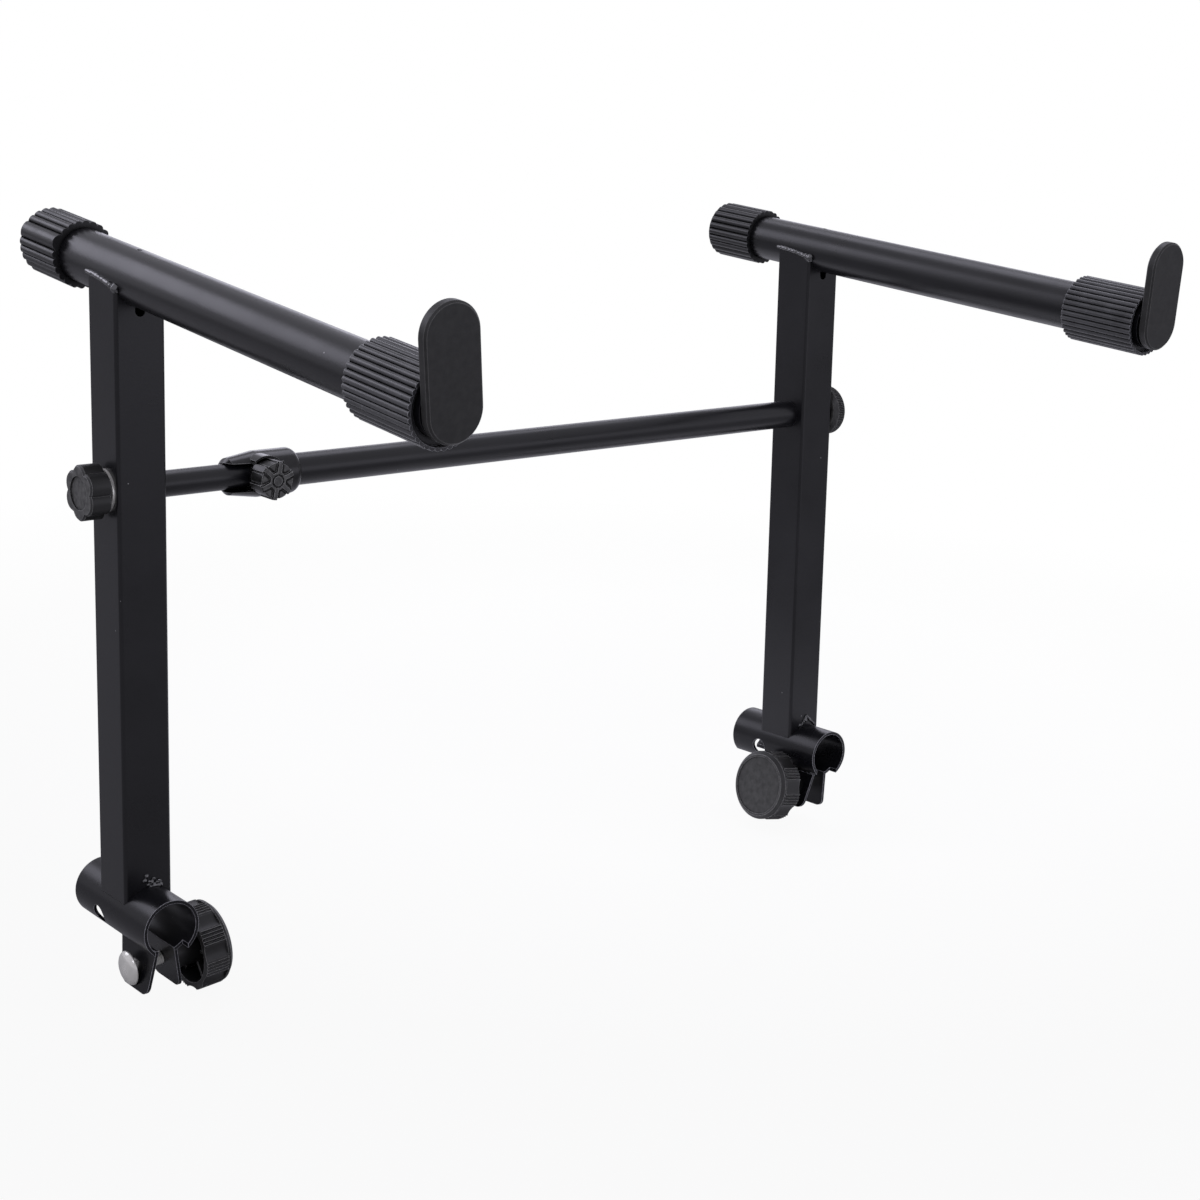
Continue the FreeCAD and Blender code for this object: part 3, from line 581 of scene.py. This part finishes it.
def spatter(bm, side, centre, radius, rng):
    """One rounded, uneven lump."""
    lump = bmesh.ops.create_icosphere(bm, subdivisions=3, radius=1.0)
    shift = Vector((rng.random(), rng.random(), rng.random())) * 10
    squash = Vector((rng.uniform(0.8, 1.2), rng.uniform(0.8, 1.2), rng.uniform(0.8, 1.2)))
    for vert in lump["verts"]:
        d = vert.co.copy()
        grow = 1 + 0.3 * noise.noise(d * 1.6 + shift)
        d = Vector((d.x * squash.x, d.y * squash.y, d.z * squash.z)) * grow * radius
        vert.co = frame_place(side, Vector(centre) + d)


def weld_bead(side, name, path, seed):
    """A run of weld: overlapping ripples along a path, uneven, with two lumps at its end."""
    rng = random.Random(seed)
    bm = bmesh.new()
    points = [path(i / BEAD_STEPS) for i in range(BEAD_STEPS + 1)]
    rings = []
    for i, p in enumerate(points):
        t = i / BEAD_STEPS
        ahead = points[min(i + 1, BEAD_STEPS)] - points[max(i - 1, 0)]
        ahead.normalize()
        out = Vector((1, 0, 0)) if abs(ahead.x) < 0.7 else Vector((0, 1, 0))
        up = ahead.cross(out).normalized()
        out = up.cross(ahead).normalized()
        ripple = 0.92 + 0.08 * abs(math.sin(math.pi * t * BEAD_RIPPLES))
        ends = math.sqrt(max(0.0, 1 - (2 * t - 1) ** 8))
        ring = []
        for k in range(BEAD_SIDES):
            a = 2 * math.pi * k / BEAD_SIDES
            lump = 1 + 0.22 * noise.noise(Vector((t * 9 + seed, math.cos(a), math.sin(a))))
            r = max(BEAD_THINNEST, BEAD_RADIUS * ripple * ends * lump)
            point = p + out * (r * math.cos(a)) + up * (r * math.sin(a))
            ring.append(frame_place(side, point))
        rings.append(ring)
    ring_surface(bm, rings)
    spatter(bm, side, path(0.96), BEAD_RADIUS * 1.7, rng)
    spatter(bm, side, path(0.86), BEAD_RADIUS * 1.25, rng)
    add_piece(name, bm, weld_coat, side + "_frame")


def arm_welds(side):
    """Beads under the arm along both side walls of the upright, from behind to the front."""
    for label, x in (("outer", -1), ("inner", 1)):
        def path(t, x=x):
            along = (17.0 - 34.5 * t) * MM
            return on_arm(x * (UPRIGHT_HALF + 0.1 * MM), along, (-1.6 - 3.4 * t * t) * MM)
        seed = 3 + x if side == "left" else 11 + x
        weld_bead(side, side + "_weld_arm_" + label, path, seed)


def foot_welds(side):
    """Where upright meets clamp tube: lumps in front, a bead behind."""
    rng = random.Random(21 if side == "left" else 34)
    bm = bmesh.new()
    for x, z, r in FOOT_LUMPS_LEFT if side == "left" else FOOT_LUMPS_RIGHT:
        spot = Vector((x * MM, -UPRIGHT_HALF - 0.15 * MM, z * MM))
        spatter(bm, side, spot, r * MM, rng)
    add_piece(side + "_weld_foot_front", bm, weld_coat, side + "_frame")

    def path(t):
        x = (2 * t - 1) * FOOT_BEAD_HALF
        z = math.sqrt(CLAMP_RADIUS ** 2 - x ** 2)
        return Vector((x, UPRIGHT_HALF + 0.3 * MM, z + 0.2 * MM))
    weld_bead(side, side + "_weld_foot_back", path, 5)


grip_knob()
for side in ("left", "right"):
    clamp_bolt(side)
    arm_welds(side)
    foot_welds(side)


# ---------------------------------------------------------------- floor, light, camera

def floor_distance(tree, place):
    """How far a point of the floor is from a place in the floor's own coordinates."""
    coords = tree.nodes.new("ShaderNodeTexCoord")
    away = tree.nodes.new("ShaderNodeVectorMath")
    away.operation = "DISTANCE"
    away.inputs[1].default_value = place
    tree.links.new(coords.outputs["Object"], away.inputs[0])
    return away.outputs["Value"]


def make_floor():
    """Pale floor, with two looks.

    The camera sees mostly an even white, and near the object a little of the true
    surface, which keeps its shadow. The true surface carries a painted pool of light behind
    the object and to its right, and is darker elsewhere: the undersides pick that up.
    """
    mat, tree, out = blank("studio_floor")
    # Painted pool of light: the floor's colour is bright near this place and darker further
    # off.
    painted_pool_falloff = map_range(tree, floor_distance(tree, (0.40, 0.22, 0.0)), 0.38, 0.66)
    diffuse = tree.nodes.new("ShaderNodeBsdfDiffuse")
    tree.links.new(mix_colour(tree, painted_pool_falloff, grey(0.95), grey(0.40)), diffuse.inputs["Color"])
    glow = tree.nodes.new("ShaderNodeEmission")
    glow.inputs["Color"].default_value = grey(1.0)
    glow.inputs["Strength"].default_value = 1.0
    even = map_range(tree, floor_distance(tree, (0.0, 0.0, 0.0)), 0.45, 1.3, 0.93, 1.0)
    ray = tree.nodes.new("ShaderNodeLightPath")
    seen = math_node(tree, "MULTIPLY", ray.outputs["Is Camera Ray"], even)
    surface = mix_shader(tree, seen, diffuse.outputs[0], glow.outputs[0])
    tree.links.new(surface, out.inputs["Surface"])

    size = 9.0
    mesh = bpy.data.meshes.new("studio_floor")
    bm = bmesh.new()
    bm.faces.new([bm.verts.new((x * size, y * size, 0))
                  for x, y in ((-1, -1), (1, -1), (1, 1), (-1, 1))])
    bm.to_mesh(mesh)
    bm.free()
    floor = bpy.data.objects.new("studio_floor", mesh)
    floor.location = (FRAME_SPACING / 2, 0, cad_box[0][2] - 0.5 * MM)
    bpy.context.scene.collection.objects.link(floor)
    floor.data.materials.append(mat)


def make_world():
    """The camera sees white; everything else gets a dimmer, cooler fill."""
    world = bpy.data.worlds.new("studio_world")
    world.use_nodes = True
    tree = world.node_tree
    tree.nodes.clear()
    out = tree.nodes.new("ShaderNodeOutputWorld")
    looks = []
    for colour, strength in ((FILL_COLOUR, FILL_STRENGTH), (grey(1.0), 1.0)):
        look = tree.nodes.new("ShaderNodeBackground")
        look.inputs["Color"].default_value = colour
        look.inputs["Strength"].default_value = strength
        looks.append(look.outputs[0])
    ray = tree.nodes.new("ShaderNodeLightPath")
    surface = mix_shader(tree, ray.outputs["Is Camera Ray"], *looks)
    tree.links.new(surface, out.inputs["Surface"])
    bpy.context.scene.world = world


def area_light(name, place, target, size, power):
    data = bpy.data.lights.new(name, "AREA")
    data.shape = "RECTANGLE"
    data.size = size[0]
    data.size_y = size[1]
    data.energy = power
    data.color = LIGHT_COLOUR
    light = bpy.data.objects.new(name, data)
    light.location = place
    light.rotation_euler = (Vector(target) - Vector(place)).to_track_quat("-Z", "Y").to_euler()
    bpy.context.scene.collection.objects.link(light)


def make_camera():
    """The photograph's own view. Yaw turns from +Y to +X, pitch looks down."""
    yaw, pitch, roll = CAMERA_YAW, CAMERA_PITCH, CAMERA_ROLL
    forward = Vector((math.sin(yaw) * math.cos(pitch), math.cos(yaw) * math.cos(pitch),
                      -math.sin(pitch)))
    right = Vector((math.cos(yaw), -math.sin(yaw), 0.0))
    down = forward.cross(right)
    side = math.cos(roll) * right + math.sin(roll) * down
    below = -math.sin(roll) * right + math.cos(roll) * down
    turn = Matrix((side, -below, -forward)).transposed().to_4x4()
    data = bpy.data.cameras.new("photo_camera")
    data.sensor_width = SENSOR_MM
    data.lens = FOCAL_PIXELS / PHOTO_WIDTH * SENSOR_MM
    data.clip_start = 0.05
    data.clip_end = 60.0
    camera = bpy.data.objects.new("photo_camera", data)
    camera.matrix_world = Matrix.Translation(CAMERA_PLACE) @ turn
    bpy.context.scene.collection.objects.link(camera)
    bpy.context.scene.camera = camera


make_floor()
make_world()
make_camera()
# name, place, target, width and height, watts
area_light("back_left_soft", (-0.80, 1.83, 1.44), (0, -0.15, 0.36), (1.3, 1.1), 8.6)
area_light("back_top_soft", (1.15, 0.75, 1.9), (0.4, -0.05, 0.3), (1.2, 0.8), 4.2)
area_light("backdrop_glow", (1.73, 1.56, 0.83), (0.27, 0, 0.3), (1.8, 0.8), 5.2)
area_light("spark", (-1.3, -0.9, 1.5), (0.1, 0, 0.2), (0.14, 0.14), 3.2)
area_light("front_card", (0.95, -1.5, 0.37), (0.15, 0, 0.3), (1.2, 0.8), 1.4)
bpy.context.scene.view_settings.view_transform = "Standard"
